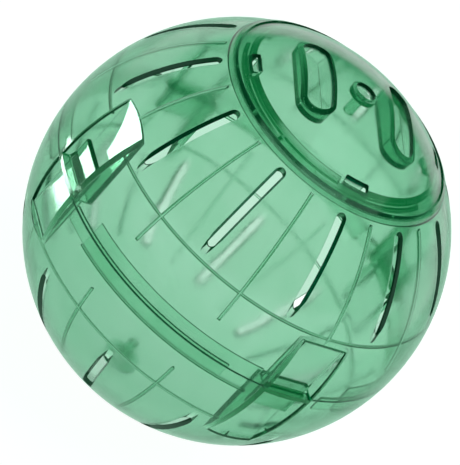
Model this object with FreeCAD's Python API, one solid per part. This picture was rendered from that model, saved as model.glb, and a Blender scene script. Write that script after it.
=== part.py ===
import FreeCAD, Part
import math
import os

# Exercise ball for a small pet: two moulded half shells that snap together at the equator, and a round
# bayonet lid in the upper one. +Z is up along the pole axis, and the origin is the centre of the flat
# spot under the lower pole, on which the ball stands. Millimetres; angles in degrees.

# Ball
ball_radius = 90.0
wall = 1.8
foot_radius = 9.0             # flat spot at the lower pole
pole_boss_depth = 3.0         # thickness of the plastic behind that flat spot
fit_gap = 0.3                 # between pieces that slide past each other

# Lid opening in the upper shell: a raised collar, and a ledge that the lid lies on
opening_radius = 52.3
collar_width = 3.2
collar_bevel_width = 1.3
collar_height = 0.6
ledge_width = 7.7
ledge_thickness = 1.8
ledge_root_width = 2.0        # how far past the opening the ledge's root tapers into the wall
ledge_lip_width = 1.6
ledge_lip_depth = 3.75        # from the ledge's upper side, at its inner edge

# Bayonet lugs under the lid, and the rails under the ledge that they turn between
lug_count = 4
lug_bearing = 77.0            # of the first lug, from +X
lug_angle = 11.0
lug_leg_thickness = 1.3
lug_foot_reach = 2.3
lug_foot_thickness = 1.6
notch_side_gap = 3.0          # degrees, each side of a lug
rail_thickness = 1.4
rail_depth_past_lip = 1.7
rail_lead = 21.0              # degrees from a notch's middle to the rail's open end
rail_travel = 47.0            # degrees from a notch's middle to the rail's stopped end
rail_stop_angle = 2.0

# Lid
window_length = 11.0
window_width = 3.1
window_corner = 0.8
well_bearing = -14.5
well_offset = 21.0
well_half_width = 5.9
well_half_length = 21.3
well_draft = 0.6              # how much smaller the floor is than the rim, all round
well_depth = 7.8              # below the lid's surface, at the well's middle

# Axle holes in both poles
axle_bore_radius = 1.3
axle_tube_wall = 1.1
axle_tube_length = 13.0
axle_mouth_radius = 4.7
axle_mouth_depth = 2.9
axle_mouth_wall = 1.3         # round and under the mouth

# Ventilation slots and inner ribs, twelve of each in each half, taking turns
slot_count = 12
slot_width = 4.9              # at the ball's surface
slot_inner_width = 3.0        # at the wall's inner side
slot_collar_gap = 1.5         # from the collar to a slot
slot_end_angle = 66.6         # from the pole
rib_width = 0.5               # along its crest
rib_root_width = 1.5          # where it meets the wall
rib_height = 1.2
rib_end_angle = 80.0
girth_rib_angle = 71.0        # the rib that runs round each half, from the pole
girth_rib_width = 0.8
girth_rib_height = 1.0

# Seam lips that line the halves up
lip_wall = 0.6
lip_reach = 6.15              # past the seam
lip_first_bearing = 11.0
lip_last_bearing = 70.4
lip_shelf = 1.0               # thickness of the shelf that carries a lip

# Snap catches: a long thumb pocket with a strap in one half, a spring arm in the other
pocket_half_width = 11.0
pocket_depth = 9.5            # from the ball's surface at the seam to the long pocket's flat floor
recess_depth = 4.9            # from the ball's surface at the seam to the arm's flat outer face
strap_height = 2.2
arm_thickness = 2.0
arm_side_gap = 1.2
arm_reach = 14.0              # past the seam
arm_root_height = 25.0        # from the seam to the bend at the arm's root
arm_root_gap = 0.2
arm_end_round = 0.8
nose_height = 1.5
nose_land = 1.0
nose_ramp = 3.1
nose_gap = 0.2

# How far cutting tools run past what they cut, and how far walls are sunk into what carries them
overrun = 5.0
sunk = 0.5
hair = 0.01

centre_height = math.sqrt(ball_radius ** 2 - foot_radius ** 2)
inner_radius = ball_radius - wall
mid_wall_radius = ball_radius - wall / 2
collar_radius = opening_radius + collar_width
pocket_floor = ball_radius - pocket_depth
arm_face = ball_radius - recess_depth
origin = FreeCAD.Vector(0, 0, 0)
up = FreeCAD.Vector(0, 0, 1)


def drop(radius, along):
    """Height of a sphere of this radius above the equator, at this distance from the pole axis."""
    return math.sqrt(radius ** 2 - along ** 2)


ledge_radius = inner_radius - fit_gap
ledge_inner = opening_radius - ledge_width
ledge_lip_foot = drop(ledge_radius, ledge_inner) - ledge_lip_depth
lug_outer_face = ledge_inner - fit_gap
lug_foot_top = ledge_lip_foot - fit_gap
lug_foot_outer = lug_outer_face + lug_foot_reach
rail_inner = lug_foot_outer + fit_gap
rail_foot = ledge_lip_foot - rail_depth_past_lip


def turned(shape, bearing):
    copy = shape.copy()
    copy.rotate(origin, up, bearing)
    return copy


def box(x0, x1, y0, y1, z0, z1):
    return Part.makeBox(x1 - x0, y1 - y0, z1 - z0, FreeCAD.Vector(x0, y0, z0))


def level_rod(radius, x, half_length, z):
    """Round rod along Y, with its middle at y = 0."""
    end = FreeCAD.Vector(x, -half_length, z)
    return Part.makeCylinder(radius, 2 * half_length, end, FreeCAD.Vector(0, 1, 0))


def revolved(outline, bearing=0.0, sweep=360.0):
    """Solid of revolution about the pole axis. The outline is (radius, height) points; a point with a third
    value starts an arc about the ball's centre to the next point, with that radius."""
    edges = []
    for start, end in zip(outline, outline[1:] + outline[:1]):
        a = FreeCAD.Vector(start[0], 0, start[1])
        b = FreeCAD.Vector(end[0], 0, end[1])
        if len(start) == 3:
            middle = (a + b).normalize() * start[2]
            edges.append(Part.Arc(a, middle, b).toShape())
        else:
            edges.append(Part.LineSegment(a, b).toShape())
    solid = Part.Face(Part.Wire(edges)).revolve(origin, up, sweep)
    if solid.Volume < 0:
        solid.reverse()
    return turned(solid, bearing)


def extruded(outline, y0, y1):
    """Prism between two planes of constant y. The outline is (x, z) points."""
    points = [FreeCAD.Vector(x, y0, z) for x, z in outline]
    face = Part.Face(Part.makePolygon(points + points[:1]))
    return face.extrude(FreeCAD.Vector(0, y1 - y0, 0))


def rounded_block(x0, x1, y0, y1, corner, z0, z1):
    """Upright block with its four upright edges rounded."""
    block = box(x0, x1, y0, y1, z0, z1)
    upright = [e for e in block.Edges if abs(e.tangentAt(e.FirstParameter).z) > 1 - hair]
    return block.makeFillet(corner, upright)


# ---- what both halves share, drawn as an upper half: pole at +Z, seam at z = 0 ----

def meridian_ring(section):
    """Ring in the plane y = 0 about the ball's centre. Its section is (radius, width) pairs, inside first."""
    near = [(radius, -width / 2) for radius, width in section]
    far = [(radius, width / 2) for radius, width in reversed(section)]
    ring = revolved(near + far)
    ring.rotate(origin, FreeCAD.Vector(1, 0, 0), 90.0)
    return ring


def slots():
    """Slots whose ends follow the pole axis, as a mould's pins shape them. Their sides narrow inwards."""
    half = slot_width / 2
    end = ball_radius * math.sin(math.radians(slot_end_angle))
    pin = rounded_block(collar_radius + slot_collar_gap, end, -half, half, half - hair,
                        drop(inner_radius, end) - overrun, ball_radius + overrun)
    draft = (slot_width - slot_inner_width) / wall
    wedge = meridian_ring([(inner_radius - sunk, slot_inner_width - draft * sunk),
                           (ball_radius + sunk, slot_width + draft * sunk)])
    one = pin.common(wedge)
    step = 360.0 / slot_count
    return [turned(one, step * (i + 0.5)) for i in range(slot_count)]


def ribs():
    foot = inner_radius * math.cos(math.radians(rib_end_angle))
    reach = rib_root_width
    span = box(collar_radius, ball_radius, -reach, reach, foot, ball_radius)
    one = meridian_ring([(inner_radius - rib_height, rib_width), (inner_radius, rib_root_width),
                         (mid_wall_radius, rib_root_width)]).common(span)
    step = 360.0 / slot_count
    return [turned(one, step * i) for i in range(slot_count)]


def girth_rib():
    middle = inner_radius * math.cos(math.radians(girth_rib_angle))
    low = middle - girth_rib_width / 2
    high = middle + girth_rib_width / 2
    inner = drop(inner_radius, middle) - girth_rib_height
    outer = drop(mid_wall_radius, high)
    return revolved([(inner, low), (outer, low), (outer, high), (inner, high)])


def lips(outline):
    """Four lips, one in each quarter of the seam."""
    one = revolved(outline, lip_first_bearing, lip_last_bearing - lip_first_bearing)
    return [turned(one, 90.0 * i) for i in range(4)]


def pocket_block(face, top):
    """The solid that a pocket is cut into: flat inside, and buried in the ball's wall outside."""
    half = pocket_half_width + wall
    return box(face, ball_radius, -half, half, 0, top).common(Part.makeSphere(mid_wall_radius))


def long_pocket():
    """Thumb pocket with the strap that the other half's arm hooks under. Returns what is added and cut."""
    top = drop(ball_radius, pocket_floor)
    added = pocket_block(pocket_floor - wall, top + wall)
    strap_face = arm_face + fit_gap
    width = pocket_half_width
    hollow = box(pocket_floor, ball_radius + overrun, -width, width, strap_height, top + overrun)
    passage = box(pocket_floor, strap_face, -width, width, -overrun, strap_height + hair)
    return added, [hollow, passage]


def arm_recess():
    """Flat recess round the arm, with the seat of the arm's root. Returns what is added and cut."""
    top = drop(ball_radius, arm_face)
    inner_face = arm_face - arm_thickness
    width = pocket_half_width
    added = pocket_block(inner_face, top + wall)
    hollow = box(arm_face, ball_radius + overrun, -width, width, -overrun, top + overrun)
    passage = box(inner_face - overrun, arm_face + hair, -width, width, -overrun, arm_root_height)
    seat = level_rod(arm_thickness / 2 + arm_root_gap, arm_face - arm_thickness / 2, width, arm_root_height)
    return added, [hollow, passage, seat]


def snap_arm():
    """Spring arm, round at its root, with a nose that catches over the other half's strap."""
    half = pocket_half_width - arm_side_gap
    blade = box(arm_face - arm_thickness, arm_face, -half, half, -arm_reach, arm_root_height)
    root = level_rod(arm_thickness / 2, arm_face - arm_thickness / 2, half, arm_root_height)
    catch = -(strap_height + nose_gap)
    ramp_start = catch - nose_land
    ramp_end = ramp_start - nose_ramp
    nose = extruded([(arm_face - sunk, catch), (arm_face + nose_height, catch),
                     (arm_face + nose_height, ramp_start), (arm_face, ramp_end), (arm_face - sunk, ramp_end)],
                    -half, half)
    arm = blade.fuse([root, nose]).removeSplitter()
    end = [e for e in arm.Edges
           if abs(e.CenterOfMass.z + arm_reach) < hair and abs(e.CenterOfMass.x - arm_face) < hair]
    return arm.makeFillet(arm_end_round, end)


def half_shell(body, lip_outline):
    """Adds ribs, lips, catches and slots to the plain shell of one half."""
    blocks = []
    cuts = []
    for i in range(4):
        added, cut = long_pocket() if i % 2 == 0 else arm_recess()
        blocks.append(turned(added, 90.0 * i))
        cuts += [turned(c, 90.0 * i) for c in cut]
    shell = body.fuse(ribs() + [girth_rib()] + blocks)
    shell = shell.cut(cuts + slots())
    return shell.fuse(lips(lip_outline)).removeSplitter()


def axle_hole(surface, behind):
    """Outline of the cup and tube behind a pole and of the hole through them, from the inside out: surface
    is the height of the cup's mouth, and behind is that of the wall's inner side where the cup meets it."""
    outer = axle_bore_radius + axle_tube_wall
    cup = axle_mouth_radius + axle_mouth_wall
    end = ball_radius - axle_tube_length
    floor = surface - axle_mouth_depth
    under = floor - axle_mouth_wall
    return [(cup, behind), (cup, under), (outer, under), (outer, end), (axle_bore_radius, end),
            (axle_bore_radius, floor), (axle_mouth_radius, floor), (axle_mouth_radius, surface)]


# ---- the pieces ----

def upper_shell():
    band_radius = ball_radius + collar_height
    bevel_top = collar_radius - collar_bevel_width
    underside = ledge_radius - ledge_thickness
    lip_outer = ledge_inner + ledge_lip_width
    root_end = opening_radius + ledge_root_width
    body = revolved([
        (ball_radius, 0, ball_radius), (collar_radius, drop(ball_radius, collar_radius)),
        (bevel_top, drop(band_radius, bevel_top), band_radius),
        (opening_radius, drop(band_radius, opening_radius)),
        (opening_radius, drop(ledge_radius, opening_radius), ledge_radius),
        (ledge_inner, drop(ledge_radius, ledge_inner)), (ledge_inner, ledge_lip_foot),
        (lip_outer, ledge_lip_foot), (lip_outer, drop(underside, lip_outer), underside),
        (opening_radius, drop(underside, opening_radius)),
        (root_end, drop(inner_radius, root_end), inner_radius), (inner_radius, 0)])
    half_notch = lug_angle / 2 + notch_side_gap
    notch = revolved([(ledge_inner - overrun, rail_foot), (rail_inner, rail_foot), (rail_inner, ball_radius),
                      (ledge_inner - overrun, ball_radius)], lug_bearing - half_notch, 2 * half_notch)
    rail_outer = rail_inner + rail_thickness
    in_ledge = ledge_radius - ledge_thickness / 2
    rail = revolved([(rail_inner, rail_foot), (rail_outer, rail_foot),
                     (rail_outer, drop(in_ledge, rail_outer)), (rail_inner, drop(in_ledge, rail_inner))],
                    lug_bearing - rail_lead, rail_lead + rail_travel)
    in_rail = rail_inner + rail_thickness / 2
    stop = revolved([(ledge_inner, rail_foot), (in_rail, rail_foot), (in_rail, drop(in_ledge, rail_outer)),
                     (ledge_inner, drop(in_ledge, rail_outer))],
                    lug_bearing + rail_travel - rail_stop_angle, rail_stop_angle)
    bearings = [i * 360.0 / lug_count for i in range(lug_count)]
    body = body.cut([turned(notch, b) for b in bearings])
    body = body.fuse([turned(r, b) for b in bearings for r in (rail, stop)])

    lip_outer_face = drop(inner_radius, lip_reach) - fit_gap
    lip_inner_face = lip_outer_face - lip_wall
    in_wall = inner_radius + wall / 3
    lip = [(lip_inner_face, -lip_reach), (lip_outer_face, -lip_reach), (lip_outer_face, 0), (in_wall, 0),
           (drop(in_wall, lip_shelf), lip_shelf), (lip_inner_face, lip_shelf)]
    return half_shell(body, lip)


def lower_shell():
    """Drawn pole up as the upper half is, and turned over by turned_over()."""
    boss_inner = centre_height - pole_boss_depth
    axle = axle_hole(centre_height, boss_inner)
    body = revolved(
        [(ball_radius, 0, ball_radius), (foot_radius, centre_height)] + axle[::-1]
        + [(foot_radius, boss_inner), (foot_radius, drop(inner_radius, foot_radius), inner_radius),
           (inner_radius, 0)])
    lip_outer_face = drop(inner_radius, lip_reach) - lip_wall - 2 * fit_gap
    lip_inner_face = lip_outer_face - lip_wall
    shelf = lip_reach + fit_gap
    in_wall = inner_radius + wall / 3
    root_top = shelf + lip_shelf
    lip = [(lip_inner_face, -lip_reach), (lip_outer_face, -lip_reach), (lip_outer_face, shelf),
           (drop(in_wall, shelf), shelf), (drop(in_wall, root_top), root_top), (lip_inner_face, root_top)]
    return half_shell(body, lip)


def tapered_well(grow, low, high):
    """Upright oblong block that narrows downwards by the well's draft; grow widens it all round."""
    wires = []
    for z, shrink in ((low, well_draft), (high, 0.0)):
        half_width = well_half_width + grow - shrink
        half_length = well_half_length + grow - shrink
        x = well_offset
        y = half_length - half_width
        left = FreeCAD.Vector(x - half_width, 0, z)
        right = FreeCAD.Vector(x + half_width, 0, z)
        near = FreeCAD.Vector(0, -y, 0)
        far = FreeCAD.Vector(0, y, 0)
        edges = [Part.LineSegment(right + near, right + far),
                 Part.Arc(right + far, FreeCAD.Vector(x, half_length, z), left + far),
                 Part.LineSegment(left + far, left + near),
                 Part.Arc(left + near, FreeCAD.Vector(x, -half_length, z), right + near)]
        wires.append(Part.Wire([e.toShape() for e in edges]))
    return Part.makeLoft(wires, True, True)


def lid():
    rim = opening_radius - fit_gap
    mouth_height = drop(ball_radius, axle_mouth_radius)
    axle = axle_hole(mouth_height, drop(inner_radius, axle_mouth_radius + axle_mouth_wall))
    body = revolved(
        [(axle_mouth_radius, mouth_height, ball_radius), (rim, drop(ball_radius, rim)),
         (rim, drop(inner_radius, rim), inner_radius)] + axle[:-1])
    leg_inner = lug_outer_face - lug_leg_thickness
    foot = lug_foot_top - lug_foot_thickness
    lug = revolved([(leg_inner, foot), (lug_foot_outer, foot), (lug_foot_outer, lug_foot_top),
                    (lug_outer_face, lug_foot_top), (lug_outer_face, drop(mid_wall_radius, lug_outer_face)),
                    (leg_inner, drop(mid_wall_radius, leg_inner))], lug_bearing - lug_angle / 2, lug_angle)
    window_outer = lug_outer_face + window_width
    window_angle = math.degrees(window_length / lug_outer_face)
    window = revolved([(lug_outer_face, lug_foot_top), (window_outer, lug_foot_top),
                       (window_outer, ball_radius), (lug_outer_face, ball_radius)],
                      lug_bearing - window_angle / 2, window_angle)
    upright = [e for e in window.Edges if abs(e.tangentAt(e.FirstParameter).z) > 1 - hair]
    window = window.makeFillet(window_corner, upright)
    bearings = [i * 360.0 / lug_count for i in range(lug_count)]
    added = [turned(lug, b) for b in bearings]
    cuts = [turned(window, b) for b in bearings]
    floor = drop(ball_radius, well_offset) - well_depth
    outside = tapered_well(wall, floor - wall, ball_radius).common(Part.makeSphere(mid_wall_radius))
    inside = tapered_well(0.0, floor, ball_radius)
    for bearing in (well_bearing, well_bearing + 180.0):
        added.append(turned(outside, bearing))
        cuts.append(turned(inside, bearing))
    return body.fuse(added).cut(cuts).removeSplitter()


def turned_over(shape):
    """Half a turn about the level axis midway between +X and +Y: swaps x with y and pole with pole."""
    copy = shape.copy()
    copy.rotate(origin, FreeCAD.Vector(1, 1, 0), 180.0)
    return copy


def write(name, shape):
    shape = shape.copy()
    shape.translate(FreeCAD.Vector(0, 0, centre_height))
    solids = shape.Solids
    print(name, "solids", len(solids), "valid", shape.isValid(), "volume", round(shape.Volume, 1))
    (solids[0] if len(solids) == 1 else shape).exportStep(os.path.join("parts", name + ".step"))


os.makedirs("parts", exist_ok=True)
write("upper_shell", upper_shell())
write("lower_shell", turned_over(lower_shell()))
write("lid", lid())
for side, bearing in (("a", 90.0), ("b", 270.0)):
    arm = turned(snap_arm(), bearing)
    write("upper_snap_arm_" + side, arm)
    write("lower_snap_arm_" + side, turned_over(arm))
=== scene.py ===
import math

import bmesh
import bpy
from mathutils import Matrix, Quaternion, Vector

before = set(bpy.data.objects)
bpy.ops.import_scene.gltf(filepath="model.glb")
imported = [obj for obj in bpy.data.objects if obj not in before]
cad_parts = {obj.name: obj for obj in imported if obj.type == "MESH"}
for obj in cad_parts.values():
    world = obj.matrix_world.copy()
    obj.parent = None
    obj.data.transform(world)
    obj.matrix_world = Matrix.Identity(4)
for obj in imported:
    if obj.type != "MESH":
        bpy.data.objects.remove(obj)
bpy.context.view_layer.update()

# ---- Camera ----
# It stands above the ball's girth and looks a little down on the lid. It is rolled, so the line through both
# poles leans to the upper right of the picture. A long lens keeps the ball's outline round.
MM = 0.001
centre_height = 89.549 * MM
ball_centre = Vector((0, 0, centre_height))
camera_bearing = math.radians(47.9)
camera_rise = math.radians(30.84)
camera_roll = math.radians(42.78)
camera_distance = 1261 * MM


def way(bearing, rise):
    """The direction that has this bearing and this height over the horizon, in radians."""
    return Vector((
        math.cos(rise) * math.cos(bearing),
        math.cos(rise) * math.sin(bearing),
        math.sin(rise),
    ))


camera_data = bpy.data.cameras.new("camera")
camera_data.lens = 232.2
camera_data.sensor_width = 36
camera_data.shift_x = -0.0147
camera_data.shift_y = -0.0030
camera_data.clip_start = 0.05
camera_data.clip_end = 50
camera = bpy.data.objects.new("camera", camera_data)
bpy.context.scene.collection.objects.link(camera)
toward_camera = way(camera_bearing, camera_rise)
level_view = toward_camera.to_track_quat("Z", "Y")
rolled_view = level_view @ Quaternion((0, 0, 1), camera_roll)
camera_place = Matrix.Translation(ball_centre + camera_distance * toward_camera)
camera.matrix_world = camera_place @ rolled_view.to_matrix().to_4x4()
bpy.context.scene.camera = camera

# ---- Light table ----
# A sheet of opal acrylic with an even white glow, as product tables have. It is what shows through the clear
# plastic, and it swallows the ball's shadow. It is kept out of reflections, where it would whiten the limb.
scene = bpy.context.scene
scene.view_settings.view_transform = "Standard"


def linear(code):
    """A colour for Blender from its sRGB hex code."""
    parts = [int(code[i:i + 2], 16) / 255 for i in (1, 3, 5)]
    return [c / 12.92 if c <= 0.04045 else ((c + 0.055) / 1.055) ** 2.4 for c in parts] + [1.0]


def add(tree, kind, links=None, values=None, **settings):
    """One shader node with its settings, its incoming links and its sockets' own values."""
    node = tree.nodes.new(kind)
    for name, value in settings.items():
        setattr(node, name, value)
    for name, value in (values or {}).items():
        node.inputs[name].default_value = value
    for name, source in (links or {}).items():
        tree.links.new(source, node.inputs[name])
    return node


table_half = 12.0
table_glow = 0.95
table_bm = bmesh.new()
bmesh.ops.create_grid(table_bm, x_segments=1, y_segments=1, size=table_half)
table_mesh = bpy.data.meshes.new("table")
table_bm.to_mesh(table_mesh)
table_bm.free()
table = bpy.data.objects.new("table", table_mesh)
scene.collection.objects.link(table)
acrylic = bpy.data.materials.new("opal_acrylic")
acrylic.use_nodes = True
acrylic_surface = acrylic.node_tree.nodes["Principled BSDF"]
acrylic_surface.inputs["Base Color"].default_value = linear("#8C8A8C")
acrylic_surface.inputs["Roughness"].default_value = 0.8
acrylic_surface.inputs["Emission Color"].default_value = linear("#FFFFFF")
acrylic_surface.inputs["Emission Strength"].default_value = table_glow
table.data.materials.append(acrylic)
table.visible_glossy = False

# ---- Studio light ----
# The room is white near the horizon, pale green under it and dim green above. A large soft panel hangs over
# the table. A small bright one lies beside the ball and glares in the flats of the catch on the left.
room_shades = ((-14, "#BCE2CE"), (-6, "#FFFFFF"), (6, "#FFFFFF"), (14, "#3AAE78"))  # by degrees of rise
room = bpy.data.worlds.new("studio_room")
room.use_nodes = True
room_tree = room.node_tree
room_way = add(room_tree, "ShaderNodeTexCoord")
room_height = add(room_tree, "ShaderNodeSeparateXYZ", {"Vector": room_way.outputs["Generated"]})
room_level = add(room_tree, "ShaderNodeMapRange", {"Value": room_height.outputs["Z"]}, {"From Min": -1.0})
room_colour = add(room_tree, "ShaderNodeValToRGB", {"Fac": room_level.outputs["Result"]})
room_ramp = room_colour.color_ramp
room_ramp.interpolation = "EASE"
room_ramp.elements.remove(room_ramp.elements[0])
for rise, colour in room_shades:
    room_stop = room_ramp.elements.new((1 + math.sin(math.radians(rise))) / 2)
    room_stop.color = linear(colour)
room_ramp.elements.remove(room_ramp.elements[-1])
room_light = room_tree.nodes["Background"]
room_tree.links.new(room_colour.outputs["Color"], room_light.inputs["Color"])
scene.world = room

overhead_place = ball_centre + 1300 * MM * way(math.radians(150), math.radians(70))
overhead_side = 1000 * MM
overhead_radiance = 1.2
overhead_spread = 180
table_panel_place = Vector((204, -137, 1)) * MM
table_panel_width = 90 * MM
table_panel_height = 110 * MM
table_panel_radiance = 22
table_panel_spread = 142


def light_panel(name, place, facing, width, height, radiance, spread):
    """A soft rectangular panel at this place, with its lit side to facing and a grid that keeps its light
    within the angle of spread, in degrees. It shows in reflections only."""
    data = bpy.data.lights.new(name, "AREA")
    data.shape = "RECTANGLE"
    data.size = width
    data.size_y = height
    data.energy = radiance * math.pi * width * height
    data.spread = math.radians(spread)
    panel = bpy.data.objects.new(name, data)
    scene.collection.objects.link(panel)
    turn = (place - facing).to_track_quat("Z", "Y")
    panel.matrix_world = Matrix.Translation(place) @ turn.to_matrix().to_4x4()
    panel.visible_camera = False
    panel.visible_transmission = False


light_panel("overhead_panel", overhead_place, ball_centre, overhead_side, overhead_side,
            overhead_radiance, overhead_spread)
light_panel("table_panel", table_panel_place, table_panel_place + Vector((0, 0, 1)),
            table_panel_width, table_panel_height, table_panel_radiance, table_panel_spread)

# ---- Half shells ----
# Two bowls of clear green styrene, injection moulded in polished moulds: slots, ribs, catches and seam lips
# in one piece each. The plastic is a glossy, faintly wavy skin over a green that deepens with thickness. Its
# side walls carry painted shade as dark green lines, and the plastic has a faint painted green glow. A ball
# that has been rolled about has hairlines, smears, dust and soft edges.
styrene_ior = 1.49                  # styrene has 1.59; less of it keeps the limb from going white
body_green = "#00C28F"              # what the body lets through
body_density = 295.0                # per metre
gloss_tint = "#B4FFDC"
painted_glow_green = "#0AA864"              # painted glow: faint green light the plastic gives out itself, for light that wanders inside and comes out
painted_glow_strength = 0.03
# deep green painted shade for the side-wall lines
painted_shade_green = "#00180B"
flow_wave = 18 * MM
peel_grain = 2.5 * MM
relief_height = 0.03 * MM
hairline_length = 34 * MM
hairline_spacing = 0.6 * MM
speck_cell = 5 * MM
smear_size = 30 * MM
clean_roughness = 0.07
edge_round = 0.4 * MM
rib_crest_radius = 87.2 * MM
wall_inner_radius = 88.3 * MM
catch_half_width = 12.8 * MM
catch_half_height = 42.0 * MM


def clear_styrene(name, hairline_share, smear_roughness):
    """Clear green styrene with its own wear: hairline_share is how much of it the hairlines cover, and
    smear_roughness is how dull its handled patches are."""
    material = bpy.data.materials.new(name)
    material.use_nodes = True
    tree = material.node_tree
    tree.nodes.clear()
    place = add(tree, "ShaderNodeTexCoord").outputs["Object"]

    # Flow waves in the skin, 18 mm from crest to crest and a few hundredths of a millimetre high, and on them
    # a finer orange peel that the mould's polish left, drawn at 2.5 mm so that it shows.
    waves = add(tree, "ShaderNodeTexNoise", {"Vector": place},
                {"Scale": 1 / flow_wave, "Detail": 2.0, "Roughness": 0.4, "Distortion": 0.6})
    peel = add(tree, "ShaderNodeTexNoise", {"Vector": place}, {"Scale": 1 / peel_grain, "Detail": 1.0})

    # Hairlines: noise drawn out along the surface in two directions that cross, one of them round the poles,
    # and only its peaks kept. A real hairline is 0.05 mm wide; these are drawn 0.3 mm wide to show.
    lines = []
    for turn, seed in ((0.0, 3.1), (1.2, 7.4)):
        turned_place = add(tree, "ShaderNodeMapping", {"Vector": place}, {"Rotation": (turn, turn / 2, 0.0)})
        drawn_out = add(tree, "ShaderNodeMapping", {"Vector": turned_place.outputs["Vector"]},
                        {"Scale": (1 / hairline_length, 1 / hairline_length, 1 / hairline_spacing)})
        streak = add(tree, "ShaderNodeTexNoise", {"Vector": drawn_out.outputs["Vector"]},
                     {"Scale": 1.0, "Detail": 1.0, "W": seed}, noise_dimensions="4D")
        peak = add(tree, "ShaderNodeMapRange", {"Value": streak.outputs["Fac"]},
                   {"From Min": 0.80 - hairline_share, "From Max": 0.86 - hairline_share})
        lines.append(peak.outputs["Result"])
    hairlines = add(tree, "ShaderNodeMath", {0: lines[0], 1: lines[1]}, operation="MAXIMUM")

    # Dust: specks 0.4 mm across, one in most 5 mm cells.
    speck_cells = add(tree, "ShaderNodeTexVoronoi", {"Vector": place}, {"Scale": 1 / speck_cell})
    specks = add(tree, "ShaderNodeMapRange", {"Value": speck_cells.outputs["Distance"]},
                 {"From Min": 0.045, "From Max": 0.02})

    # Edges: where a corner is worn round, the rounded normal leaves the true one.
    true_normal = add(tree, "ShaderNodeNewGeometry").outputs["Normal"]
    worn_normal = add(tree, "ShaderNodeBevel", values={"Radius": edge_round}, samples=4).outputs["Normal"]
    agree = add(tree, "ShaderNodeVectorMath", {0: true_normal, 1: worn_normal}, operation="DOT_PRODUCT")
    worn_edge = add(tree, "ShaderNodeMapRange", {"Value": agree.outputs["Value"]},
                    {"From Min": 0.998, "From Max": 0.86})

    # Roughness: polished plastic, duller where it is handled, along hairlines, on specks and on worn edges.
    smears = add(tree, "ShaderNodeTexNoise", {"Vector": place},
                 {"Scale": 1 / smear_size, "Detail": 4.0, "Roughness": 0.65, "Distortion": 1.5})
    dulled = add(tree, "ShaderNodeMapRange", {"Value": smears.outputs["Fac"]},
                 {"From Min": 0.40, "From Max": 0.75, "To Min": clean_roughness, "To Max": smear_roughness})
    roughness = dulled.outputs["Result"]
    for mask, rise in ((hairlines.outputs["Value"], 0.18), (specks.outputs["Result"], 0.30),
                       (worn_edge.outputs["Result"], 0.12)):
        rougher = add(tree, "ShaderNodeMath", {0: mask, 2: roughness}, {1: rise}, operation="MULTIPLY_ADD")
        roughness = rougher.outputs["Value"]

    # Colour: the skin itself is clear, a touch greener along the waves, and milky on hairlines and specks.
    skin = add(tree, "ShaderNodeMix", {"Factor": waves.outputs["Fac"]},
               {"A": linear("#FFFFFF"), "B": linear("#EAF7F0")}, data_type="RGBA")
    haze = add(tree, "ShaderNodeMath", {0: hairlines.outputs["Value"], 1: specks.outputs["Result"]},
               operation="MAXIMUM")
    clearness = add(tree, "ShaderNodeMapRange", {"Value": haze.outputs["Value"]},
                    {"To Min": 1.0, "To Max": 0.75})

    # Painted shade on side walls: a face that stands square to the ball's skin is painted deep green in its
    # base colour, standing in for the light such a wall traps. So the slots' sides and the roots of the ribs'
    # flanks read as deep green lines. The catches' walls are large and seen whole, and are not painted.
    from_centre = add(tree, "ShaderNodeVectorMath", {0: place}, {1: ball_centre}, operation="SUBTRACT")
    radius = add(tree, "ShaderNodeVectorMath", {0: from_centre.outputs["Vector"]}, operation="LENGTH")
    outward = add(tree, "ShaderNodeVectorMath", {0: from_centre.outputs["Vector"]}, operation="NORMALIZE")
    facing = add(tree, "ShaderNodeVectorMath", {0: outward.outputs["Vector"], 1: true_normal},
                 operation="DOT_PRODUCT")
    flatness = add(tree, "ShaderNodeMath", {0: facing.outputs["Value"]}, operation="ABSOLUTE")
    side_wall = add(tree, "ShaderNodeMapRange", {"Value": flatness.outputs["Value"]},
                    {"From Min": 0.72, "From Max": 0.55})
    in_wall = add(tree, "ShaderNodeMapRange", {"Value": radius.outputs["Value"]},
                  {"From Min": rib_crest_radius, "From Max": wall_inner_radius})
    spread = add(tree, "ShaderNodeVectorMath", {0: from_centre.outputs["Vector"]}, operation="ABSOLUTE")
    along = add(tree, "ShaderNodeSeparateXYZ", {"Vector": spread.outputs["Vector"]})
    aside = add(tree, "ShaderNodeMath", {0: along.outputs["X"], 1: along.outputs["Y"]}, operation="MINIMUM")
    past_side = add(tree, "ShaderNodeMath", {0: aside.outputs["Value"]}, {1: catch_half_width},
                    operation="GREATER_THAN")
    past_top = add(tree, "ShaderNodeMath", {0: along.outputs["Z"]}, {1: catch_half_height},
                   operation="GREATER_THAN")
    off_catch = add(tree, "ShaderNodeMath", {0: past_side.outputs["Value"], 1: past_top.outputs["Value"]},
                    operation="MAXIMUM")
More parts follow.
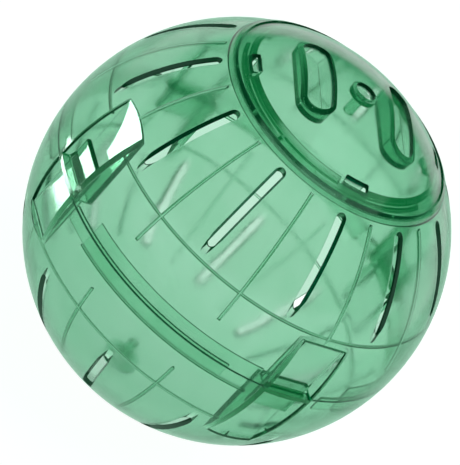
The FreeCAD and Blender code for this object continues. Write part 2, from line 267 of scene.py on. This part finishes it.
    # Mask of the painted shade: side walls within the wall's depth, away from the catches.
    painted_shade_mask = side_wall.outputs["Result"]
    for limit in (in_wall.outputs["Result"], off_catch.outputs["Value"]):
        painted_shade_mask = add(tree, "ShaderNodeMath", {0: painted_shade_mask, 1: limit}, operation="MULTIPLY").outputs["Value"]
    skin_and_painted_shade = add(tree, "ShaderNodeMix", {"Factor": painted_shade_mask, "A": skin.outputs["Result"]},
                {"B": linear(painted_shade_green)}, data_type="RGBA")

    relief = add(tree, "ShaderNodeMath", {0: peel.outputs["Fac"], 2: waves.outputs["Fac"]}, {1: 0.12},
                 operation="MULTIPLY_ADD")
    raised = add(tree, "ShaderNodeBump", {"Height": relief.outputs["Value"], "Normal": worn_normal},
                 {"Distance": relief_height, "Strength": 1.0})
    surface = add(tree, "ShaderNodeBsdfPrincipled", {
        "Base Color": skin_and_painted_shade.outputs["Result"],
        "Roughness": roughness,
        "Transmission Weight": clearness.outputs["Result"],
        "Normal": raised.outputs["Normal"],
    }, {
        "IOR": styrene_ior,
        "Specular Tint": linear(gloss_tint),
        # painted glow of the plastic
        "Emission Color": linear(painted_glow_green),
        "Emission Strength": painted_glow_strength,
    })
    body = add(tree, "ShaderNodeVolumeAbsorption",
               values={"Color": linear(body_green), "Density": body_density})
    add(tree, "ShaderNodeOutputMaterial",
        {"Surface": surface.outputs["BSDF"], "Volume": body.outputs["Volume"]})
    return material


shell_styrene = clear_styrene("moulded_clear_green_styrene", 0.0, 0.15)
for name in ("upper_shell", "lower_shell"):
    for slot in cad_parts[name].material_slots:
        slot.material = shell_styrene

# A line of sight crosses up to a dozen skins of plastic before it reaches the table.
scene.cycles.max_bounces = 24
scene.cycles.transmission_bounces = 24

# ---- Lid ----
# The same styrene, moulded in one with its lugs, finger wells and axle tube. It is turned by two fingers in
# its wells, so it has more hairlines than the half shells, and duller smears.
lid_styrene = clear_styrene("turned_lid_clear_green_styrene", 0.02, 0.16)
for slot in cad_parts["lid"].material_slots:
    slot.material = lid_styrene

# ---- Snap arms ----
# Four springs of the same styrene, moulded in one with their half shells. A thumb presses each whenever the
# ball is opened, so they have the most hairlines.
arm_styrene = clear_styrene("flexed_arm_clear_green_styrene", 0.03, 0.16)
for name in ("upper_snap_arm_a", "upper_snap_arm_b", "lower_snap_arm_a", "lower_snap_arm_b"):
    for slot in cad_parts[name].material_slots:
        slot.material = arm_styrene
